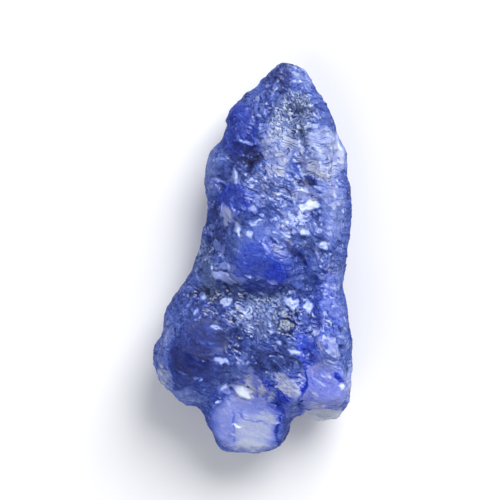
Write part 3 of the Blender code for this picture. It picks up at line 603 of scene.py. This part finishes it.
# How pale the crystal is: 0 is deep indigo and 1 is nearly white. An area's amount is added to it, and this
# share of a break's painted highlight. Some areas are the crystal's own paler or deeper colour. Others are
# painted shade in its creases and hollows and on sides away from the main light, or painted light where it
# faces that light or where light comes through it.
PALENESS = 0.46
BREAK_HIGHLIGHT_TONE = 0.8
TONE_AND_PAINTED_LIGHT_AREAS = [
    Area(1.7, 3.1, 2.0, 1.0, -8, 0.16),  # above the heart
    # Painted shade in the recess left of the heart, whose skin slopes away from the main light
    Area(-3.5, 2.6, 1.1, 2.8, 0, -0.16),  # dark left of the heart
    # Painted shade in the crease right of the heart
    Area(4.1, 0.3, 0.25, 1.3, 48, -0.30),  # crease right of the heart
    Area(0.2, 1.2, 2.4, 1.5, 0, 0.10),  # heart of the front
    # Paler partly as painted sheen, where it faces the main light
    Area(2.3, 10.3, 1.5, 3.0, 0, 0.44),  # pale column
    # Paler partly as painted sheen, where it faces the main light
    Area(6.5, 9.8, 2.5, 2.5, 0, 0.54),  # right shoulder
    # Paler partly as painted sheen, where it faces the main light
    Area(4.9, 5.9, 1.5, 0.8, -8, 0.40),  # under the notch
    Area(6.8, 6.5, 1.2, 1.2, 0, 0.18),  # right of it
    Area(-7.2, -7.0, 1.2, 1.6, -30, 0.14),  # upper left of the big dark lobe
    # Paler partly as painted sheen, where it faces the main light
    Area(4.0, 3.6, 1.5, 1.4, 0, 0.30),  # white knob
    # Paler partly as painted sheen, where it faces the main light from the right
    Area(7.8, 4.6, 1.2, 3.2, 0, 0.30),  # right flank
    Area(7.6, -2.2, 1.3, 1.2, 0, 0.26),  # right of the waist
    Area(-4.0, 8.3, 0.9, 2.4, 0, 0.22),  # bulge on the left edge
    # The next five are paler partly as painted light that comes through the thin lug, plate and flange
    Area(-0.7, -15.5, 3.1, 3.2, 0, 0.46),  # lug
    Area(0.5, -16.5, 2.4, 2.0, 0, 0.20),  # its pale middle
    Area(-0.4, -18.0, 2.6, 0.7, 0, 0.16),  # its lower edge
    Area(6.9, -15.1, 2.2, 0.7, 0, 1.0),  # plate under the foot
    Area(9.4, -12.2, 0.6, 2.4, 0, 0.50),  # flange
    Area(6.6, -12.2, 2.5, 2.4, 0, 0.46),  # foot
    # Paler partly as painted light that comes through the thin edge
    Area(-8.5, -8.2, 0.9, 3.6, 0, 0.16),  # left edge of the big dark lobe
    Area(-6.4, -13.2, 1.7, 0.8, 0, 0.28),  # rim under it
    Area(7.4, -6.6, 1.7, 3.6, 0, 0.20),  # fluted column
    Area(5.0, -8.6, 0.9, 2.4, 20, 0.14),  # vivid streak left of it
    Area(1.6, 6.8, 2.4, 1.8, 0, 0.20),  # middle, between the knobs
    # Paler partly as painted sheen, where it rises to face the main light
    Area(0.6, -5.2, 2.3, 1.8, 0, 0.19),  # shoulder under the waist
    # Paler partly as painted light on the bright facet above the lug
    Area(3.3, -11.7, 1.2, 1.3, 0, 0.24),  # bright knob above the lug
    Area(5.1, 17.2, 0.8, 1.2, 0, 0.20),  # tip
    Area(3.6, 13.2, 1.9, 2.7, -15, -0.01),  # grey patch below the tip
    # The next three are darker partly for the lobe's thickness and partly as painted shade on its side away
    # from the main light
    Area(-5.2, -8.9, 3.3, 3.7, 0, -0.13),  # big dark lobe
    Area(-5.5, -8.6, 2.0, 2.5, 0, -0.16),  # its darkest part
    Area(-2.4, -7.0, 1.3, 2.2, 20, -0.14),  # dark right of it
    Area(-1.8, 5.4, 1.8, 1.4, 0, -0.05),  # smooth knob
    Area(-1.2, 12.2, 1.8, 3.0, -15, -0.07),  # blue ridge
    # Painted shade in the valley of the waist
    Area(-0.8, -3.2, 5.2, 1.1, 0, -0.16),  # waist
    # Painted shade in the hollow left of the column
    Area(-0.9, 9.1, 1.4, 2.1, 0, -0.16),  # hollow left of the column
    Area(2.2, 16.9, 1.4, 1.3, 0, -0.10),  # dark band across the tip
    # Painted light that lifts the shade of the pit right of the heart
    Area(5.0, 1.0, 1.2, 1.2, 0, 0.10),  # right of the heart
    # Painted shade, deepest in the hollow left of the column
    Area(-0.1, 9.4, 0.8, 1.3, -20, -0.24),  # darkest part of the hollow left of the column
    # Painted shadow in the notch under the right shoulder
    Area(4.9, 7.25, 1.2, 0.5, -10, -0.34),  # dark wedge under the right shoulder
    # Painted shade in the crease between the column and the right shoulder
    Area(4.9, 11.2, 0.35, 1.7, 10, -0.34),  # crease between the column and the right shoulder
    # Painted shade in the recess beside the waist's valley
    Area(-4.2, -4.2, 2.0, 1.6, 0, -0.14),  # left of the waist
    Area(1.6, -9.2, 2.4, 1.4, 0, -0.14),  # above the bright knob
    Area(3.7, -14.3, 1.0, 1.3, 0, 0.24),  # hollow right of the lug
    Area(2.9, -5.9, 1.2, 1.6, 0, -0.34),  # dark right of the shoulder under the waist
    Area(1.3, -12.6, 0.8, 0.8, 0, 0.20),  # between the two facets above the lug
    Area(-0.6, -11.6, 0.9, 1.9, 0, 0.20),  # above the lug
    Area(-8.3, -11.6, 0.9, 1.2, 0, 0.36),  # lower left edge of the big dark lobe
    # Painted shade that dims the main light's reflection on the heart's upper right
    Area(2.5, 1.5, 1.1, 1.0, 0, -0.18),  # upper right of the heart
    # Paler as a painted glint at the lower left of the smooth knob
    Area(-2.7, 4.0, 0.8, 1.0, 0, 0.20),  # lower left of the smooth knob
    Area(3.0, 17.4, 0.9, 1.6, 0, -0.24),  # dark spot on the tip
    Area(5.3, 8.0, 1.0, 0.8, 0, 0.24),  # foot of the right shoulder
    # The next two are painted light that lifts the shade of the foot's steep lower side
    Area(7.6, -14.5, 1.6, 0.5, 0, 0.24),  # lower edge of the foot
    Area(5.4, -14.4, 0.8, 0.6, 0, 0.16),  # its lower left corner
    Area(-0.05, -15.34, 0.10, 1.8, 70, -0.30),  # fine crack across the lug
    # The next five creases are painted shade
    Area(-1.85, -16.1, 0.13, 1.5, 0, -0.22),  # crease down the lug
    Area(2.5, -16.3, 0.16, 1.6, -5, -0.34),  # crease inside its right edge
    Area(4.7, -12.3, 0.18, 2.0, -8, -0.44),  # crease left of the foot
    Area(7.3, -14.2, 0.12, 1.7, -68, -0.30),  # crease between the foot and the plate
    Area(5.1, -14.6, 0.14, 0.7, 72, -0.24),  # crease at its left end
    Area(8.1, -11.2, 0.45, 0.35, -40, -0.50),  # dark speck on the foot
]
# Where the blue is livelier and more violet, or greyer where the amount is below 0
VIVID_AREAS = [
    Area(3.2, -14.0, 1.5, 1.5, 0, 0.4),  # hollow right of the lug
    # The next four are livelier and brighter partly as painted light: light through the thin lug and plate,
    # and light falling on the facets above the lug
    Area(-0.5, -15.0, 3.9, 3.8, 0, 0.6),  # lug
    Area(6.9, -15.1, 2.4, 0.8, 0, 1.6),  # plate under the foot
    Area(0.2, -11.9, 1.4, 1.2, 0, 1.1),  # above the lug
    Area(3.2, -11.9, 1.4, 1.4, 0, 1.0),  # bright knob above the lug
    Area(5.0, -8.8, 1.0, 2.2, 20, 1.0),  # vivid streak
    Area(0.9, -0.6, 2.8, 2.6, 0, 0.7),  # heart of the front
    Area(1.9, -1.6, 1.2, 0.9, 0, 0.5),  # its lower right
    Area(-1.8, 5.6, 1.8, 1.4, 0, 0.7),  # smooth knob
    Area(6.6, -12.2, 2.4, 2.2, 0, 1.2),  # foot
    Area(-1.2, 12.0, 1.8, 2.8, 0, 0.7),  # blue ridge
    Area(7.0, -4.6, 1.6, 4.4, 0, 0.5),  # fluted column
    Area(-5.5, -9.4, 2.6, 3.0, 0, 0.2),  # big dark lobe
    Area(0.6, -5.2, 2.6, 2.0, 0, -0.6),  # shoulder under the waist
    Area(3.6, 13.2, 2.1, 2.9, -15, -0.6),  # grey patch below the tip
    Area(6.5, 9.8, 2.5, 2.5, 0, -0.3),  # right shoulder
    Area(-1.0, -3.0, 4.8, 1.2, 0, -0.5),  # waist
    Area(-4.6, -0.6, 1.1, 3.4, 14, -0.8),  # left edge
]
# By how much an amount of 1 changes the colour
VIVID_HUE = 0.009
VIVID_SATURATION = 0.13
VIVID_VALUE = 0.16
# Where the breaks are matt
DULL_AREAS = [
    Area(-2.2, 10.6, 2.0, 4.2, -15, 0.25),  # ridge and recess, upper left
    Area(-4.5, -7.5, 1.9, 1.7, 0, 1.0),  # upper right of the big dark lobe
]


def linear(code):
    """An sRGB hex colour as linear red, green, blue and alpha."""
    shares = [int(code[place : place + 2], 16) / 255.0 for place in (1, 3, 5)]
    return [s / 12.92 if s <= 0.04045 else ((s + 0.055) / 1.055) ** 2.4 for s in shares] + [1.0]


flecked = FLECKED_WHERE_SMOOTH + (1.0 - FLECKED_WHERE_SMOOTH) * (1.0 - smooth)
keep("pale", PALENESS + BREAK_HIGHLIGHT_TONE * break_highlight + front * total(near, TONE_AND_PAINTED_LIGHT_AREAS))
keep("vivid", front * total(near, VIVID_AREAS))
keep("chipped", front * most(near, CHIP_AREAS) * (1.0 - flatness))
keep("flecked", flecked * (1.0 - FLECKED_LOST_WHERE_FLAT * flatness))
keep("dull", front * most(near, DULL_AREAS) * (1.0 - flatness))
keep("thickness", thickness)

finish = bpy.data.materials.new("corundum_broken_glassy")
finish.use_nodes = True
shade = finish.node_tree
shader = shade.nodes["Principled BSDF"]
kept = {"struck place": add(shade, "ShaderNodeAttribute", (), "Vector", attribute_name="struck place")}
for name in ("lift", "thickness", "pale", "vivid", "flecked", "chipped", "dull", "crumpled", *STEPPED_AREAS):
    kept[name] = add(shade, "ShaderNodeAttribute", (), "Fac", attribute_name=name)
place = add(shade, "ShaderNodeTexCoord", (), "Object")
place = add(shade, "ShaderNodeVectorMath", {0: place, "Scale": 1.0 / MM}, operation="SCALE")
cloud = {"Vector": place, "Scale": 1.0 / CLOUD_SIZE, "Detail": 3.0, "Roughness": 0.6}
cloud = add(shade, "ShaderNodeTexNoise", cloud)
speck = add(shade, "ShaderNodeVectorMath", (kept["struck place"], SPECK_SIZE), operation="DIVIDE")
speck = add(shade, "ShaderNodeTexNoise", {"Vector": speck, "Scale": 1.0, "Detail": 3.0, "Roughness": 0.6})
grit = {"Vector": place, "Scale": 1.0 / GRIT_SIZE, "Detail": 2.0, "Roughness": 0.6}
grit = add(shade, "ShaderNodeTexNoise", grit)

# The tone: what the lift, each kind of break, cloud, speck and thin place adds to the paleness. The lift's
# share is painted shade in the hollows, and the thin places' share is painted light that comes through them.
tone = add(shade, "ShaderNodeMath", (kept["lift"], HOLLOW_SHADE_TONE, kept["pale"]), operation="MULTIPLY_ADD")
speck_tone = add(shade, "ShaderNodeMath", (kept["flecked"], SPECK_TONE), operation="MULTIPLY")
grit_tone = add(shade, "ShaderNodeMath", (kept["flecked"], GRIT_TONE), operation="MULTIPLY")
for varied, gain in ((cloud, CLOUD_TONE), (speck, speck_tone), (grit, grit_tone)):
    off = add(shade, "ShaderNodeMath", (varied, 0.5), operation="SUBTRACT")
    tone = add(shade, "ShaderNodeMath", (off, gain, tone), operation="MULTIPLY_ADD")
patterns = {Flakes: flake_pattern("ShaderNodeTree"), Steps: step_pattern("ShaderNodeTree")}
clusters = {"Vector": kept["struck place"], "Scale": 1.0 / CLUSTER_SIZE, "Detail": 1.0}
clusters = add(shade, "ShaderNodeTexNoise", clusters)
clusters = add(shade, "ShaderNodeMapRange", (clusters, *CLUSTER_RANGE), interpolation_type="SMOOTHSTEP")
fine_relief = 0.0
for made in [*STEPS, FLECKS_AND_PAINTED_GLINTS, CHIPS_AND_PAINTED_GLINTS]:
    sizes = {size.capitalize(): getattr(made, size) for size in PATTERN_SIZES[type(made)]}
    sizes["Place"] = kept["struck place"]
    made_of = add(shade, "ShaderNodeGroup", sizes, node_tree=patterns[type(made)]).node.outputs
    own = add(shade, "ShaderNodeMath", (made_of["Pale"], made.pale), operation="MULTIPLY")
    where = kept[made.where]
    if isinstance(made, Steps):
        own = add(shade, "ShaderNodeMath", (made_of["Line"], made.line, own), operation="MULTIPLY_ADD")
    else:
        where = add(shade, "ShaderNodeMath", (where, clusters), operation="MULTIPLY")
        raised = (made_of["Height"], where, fine_relief)
        fine_relief = add(shade, "ShaderNodeMath", raised, operation="MULTIPLY_ADD")
    tone = add(shade, "ShaderNodeMath", (own, where, tone), operation="MULTIPLY_ADD")
thin = add(shade, "ShaderNodeMapRange", (kept["thickness"], THIN, THICK, THIN_LIGHT_TONE, 0.0))
tone = add(shade, "ShaderNodeMath", (tone, thin), operation="ADD")

# The tone gives the blue, which is livelier in some areas, and a pale grey peppers the coarse grain. A Mix
# node's two colours and the mixed one are its inputs 6 and 7 and its output 2.
MIX_FROM = 6
MIX_TO = 7
MIXED = 2

tone = add(shade, "ShaderNodeMath", (tone, TONE_TO_BLUES), operation="MULTIPLY")
blue = add(shade, "ShaderNodeValToRGB", (tone,))
ramp = blue.node.color_ramp
for share, code in BLUES[1:-1]:
    ramp.elements.new(share)
for element, (share, code) in zip(ramp.elements, BLUES):
    element.position = share
    element.color = linear(code)
lively = {"Color": blue}
for part, gain, plain in (
    ("Hue", VIVID_HUE, 0.5),
    ("Saturation", VIVID_SATURATION, 1.0),
    ("Value", VIVID_VALUE, 1.0),
):
    lively[part] = add(shade, "ShaderNodeMath", (kept["vivid"], gain, plain), operation="MULTIPLY_ADD")
blue = add(shade, "ShaderNodeHueSaturation", lively)
pepper = {"Vector": place, "Scale": 1.0 / PEPPER_SIZE, "Detail": 2.0, "Roughness": 0.7}
pepper = add(shade, "ShaderNodeTexNoise", pepper)
pepper = add(shade, "ShaderNodeMapRange", (pepper, *PEPPER_RANGE, 0.0, PEPPER_SHARE))
pepper = add(shade, "ShaderNodeMath", (kept["grained"], pepper), operation="MULTIPLY")
peppered = {"Factor": pepper, MIX_FROM: blue, MIX_TO: linear(GRAIN_GREY)}
colour = add(shade, "ShaderNodeMix", peppered, MIXED, data_type="RGBA")
shade.links.new(colour, shader.inputs["Base Color"])

fine_relief = add(shade, "ShaderNodeMath", (grit, GRIT_RELIEF, fine_relief), operation="MULTIPLY_ADD")
fine_relief = add(shade, "ShaderNodeMath", (speck, SPECK_RELIEF, fine_relief), operation="MULTIPLY_ADD")
relief = add(shade, "ShaderNodeBump", {"Distance": MM, "Height": fine_relief})
shade.links.new(relief, shader.inputs["Normal"])
roughness = add(shade, "ShaderNodeMapRange", (kept["dull"], 0.0, 1.0, GLASSY, MATT))
shade.links.new(roughness, shader.inputs["Roughness"])
shader.inputs["IOR"].default_value = CORUNDUM_IOR
shader.inputs["Transmission Weight"].default_value = CLEARNESS
shader.inputs["Specular Tint"].default_value = linear(GLOSS_COLOUR)
shader.inputs["Subsurface Weight"].default_value = 1.0
shader.inputs["Subsurface Radius"].default_value = GLOW_REACH
shader.inputs["Subsurface Scale"].default_value = GLOW_DEPTH * MM
absorbed = {"Color": linear(DEEP_COLOUR), "Density": DEEP_DENSITY}
absorption = add(shade, "ShaderNodeVolumeAbsorption", absorbed)
shade.links.new(absorption, shade.nodes["Material Output"].inputs["Volume"])

# The relief is made real, and then the back keeps fewer faces than the front, which is seen most. The
# finished skin stands for the whole solid, and moves with the object's one body.
STONE_TRIANGLES = 196000
# The back begins where the skin faces a little upwards, and is full this much further round. The front's
# weight is how much of the thinning it takes.
BACK_STARTS = 0.25
BACK_SPAN = 0.5
FRONT_WEIGHT = 0.1
struck_skin = crystal.modifiers.new("hackly fracture", "NODES")
struck_skin.node_group = fracture
for name, value in relief_sizes.items():
    struck_skin[identifiers[name]] = value
struck_skin[asked_finish.identifier] = finish
apply_modifiers(crystal)
normals = read_rows(crystal.data.vertex_normals, "vector")
back = smooth_step((BACK_STARTS - normals[:, 2]) / BACK_SPAN)
weigh(crystal, "back", FRONT_WEIGHT + (1.0 - FRONT_WEIGHT) * back)
thinned = crystal.modifiers.new("fewer faces behind", "DECIMATE")
thinned.ratio = STONE_TRIANGLES / (2.0 * len(crystal.data.polygons))
thinned.vertex_group = "back"
apply_modifiers(crystal)
crystal.data.shade_smooth()
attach(crystal, "root")
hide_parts("sapphire_crystal")

# The floor: a wide sheet of matt white paper, which is what the stone lies on. It gives the stone soft light
# from below, and doesn't show in its glossy breaks. Its width is in metres.
PAPER_WIDTH = 3.0
PAPER_WHITE = "#f1f1f3"
PAPER_ROUGHNESS = 0.9

bpy.ops.mesh.primitive_plane_add(size=PAPER_WIDTH)
floor = bpy.context.active_object
floor.name = "floor"
paper = bpy.data.materials.new("paper_matt_white")
paper.use_nodes = True
paper_shader = paper.node_tree.nodes["Principled BSDF"]
paper_shader.inputs["Base Color"].default_value = linear(PAPER_WHITE)
paper_shader.inputs["Roughness"].default_value = PAPER_ROUGHNESS
floor.data.materials.append(paper)
floor.visible_glossy = False

# The camera looks straight down on the face that the photograph shows, with +Y up. The photograph's scale at
# the height of the stone's widest line is 10.4 pixels per millimetre, and its middle is at PHOTO_CENTRE.
PHOTO_PIXELS = 500
PIXELS_PER_MM = 10.4
PHOTO_CENTRE = (-0.29, 0.77)
WIDEST_LINE_HEIGHT = 4.5
LENS = 120.0
SENSOR = 36.0
# In metres, the nearest and the furthest that the camera sees
NEAREST = 0.005
FURTHEST = 10.0

distance = PHOTO_PIXELS / PIXELS_PER_MM * LENS / SENSOR
camera_data = bpy.data.cameras.new("camera")
camera_data.lens = LENS
camera_data.sensor_width = SENSOR
camera_data.clip_start = NEAREST
camera_data.clip_end = FURTHEST
camera = bpy.data.objects.new("camera", camera_data)
camera.location = Vector((*PHOTO_CENTRE, WIDEST_LINE_HEIGHT + distance)) * MM
scene = bpy.context.scene
scene.collection.objects.link(camera)
scene.camera = camera

# The light of a small studio: one broad softbox beyond the stone's tip, a weaker one opposite, and a pale
# room that is darker overhead, on the side away from the main light, and below the horizon. The softboxes'
# distance is in metres.
SOFTBOX_DISTANCE = 0.6
FILL_LIGHT = (215.0, 35.0)
MAIN_HALF_ANGLE = 18.0
MAIN_RADIANCE = 8.6
FILL_HALF_ANGLE = 30.0
FILL_RADIANCE = 1.4
ROOM_COLOUR = "#f6f9ff"
OVERHEAD_COLOUR = "#595d65"
# The sines of the heights between which the room turns to the overhead colour, and to what lies below
OVERHEAD_RANGE = (0.5, 0.95)
HORIZON_RANGE = (-0.3, 0.05)
BELOW_STRENGTH = 0.35
# The room's strength from the side away from the main light to the side with it
SIDE_RANGE = (-0.8, 0.6)
SIDE_STRENGTHS = (0.30, 0.80)


def softbox(name, light, half_angle, radiance):
    """A square soft light in a direction, as wide as half_angle to each side."""
    side = 2.0 * SOFTBOX_DISTANCE * math.tan(math.radians(half_angle))
    data = bpy.data.lights.new(name, "AREA")
    data.shape = "SQUARE"
    data.size = side
    data.energy = radiance * math.pi * side * side
    lamp = bpy.data.objects.new(name, data)
    scene.collection.objects.link(lamp)
    lamp.location = direction_of(light) * SOFTBOX_DISTANCE
    lamp.rotation_euler = direction_of(light).to_track_quat("Z", "Y").to_euler()
    lamp.visible_camera = False
    return lamp


softbox("broad_softbox", MAIN_LIGHT, MAIN_HALF_ANGLE, MAIN_RADIANCE)
fill = softbox("fill_softbox", FILL_LIGHT, FILL_HALF_ANGLE, FILL_RADIANCE)
fill.visible_glossy = False
room_light = bpy.data.worlds.new("room")
room_light.use_nodes = True
sky = room_light.node_tree
towards = add(sky, "ShaderNodeTexCoord", (), "Generated")
rise = add(sky, "ShaderNodeSeparateXYZ", (towards,), "Z")
soft = {"interpolation_type": "SMOOTHSTEP"}
overhead = add(sky, "ShaderNodeMapRange", (rise, *OVERHEAD_RANGE), **soft)
colours = {"Factor": overhead, MIX_FROM: linear(ROOM_COLOUR), MIX_TO: linear(OVERHEAD_COLOUR)}
room_colour = add(sky, "ShaderNodeMix", colours, MIXED, data_type="RGBA")
bearing = tuple(direction_of((MAIN_LIGHT[0], 0.0)))
side = add(sky, "ShaderNodeVectorMath", (towards, bearing), "Value", operation="DOT_PRODUCT")
strength = add(sky, "ShaderNodeMapRange", (side, *SIDE_RANGE, *SIDE_STRENGTHS), **soft)
above = add(sky, "ShaderNodeMapRange", (rise, *HORIZON_RANGE, BELOW_STRENGTH, 1.0), **soft)
strength = add(sky, "ShaderNodeMath", (strength, above), operation="MULTIPLY")
sky.links.new(room_colour, sky.nodes["Background"].inputs["Color"])
sky.links.new(strength, sky.nodes["Background"].inputs["Strength"])
scene.world = room_light
scene.view_settings.view_transform = "Standard"
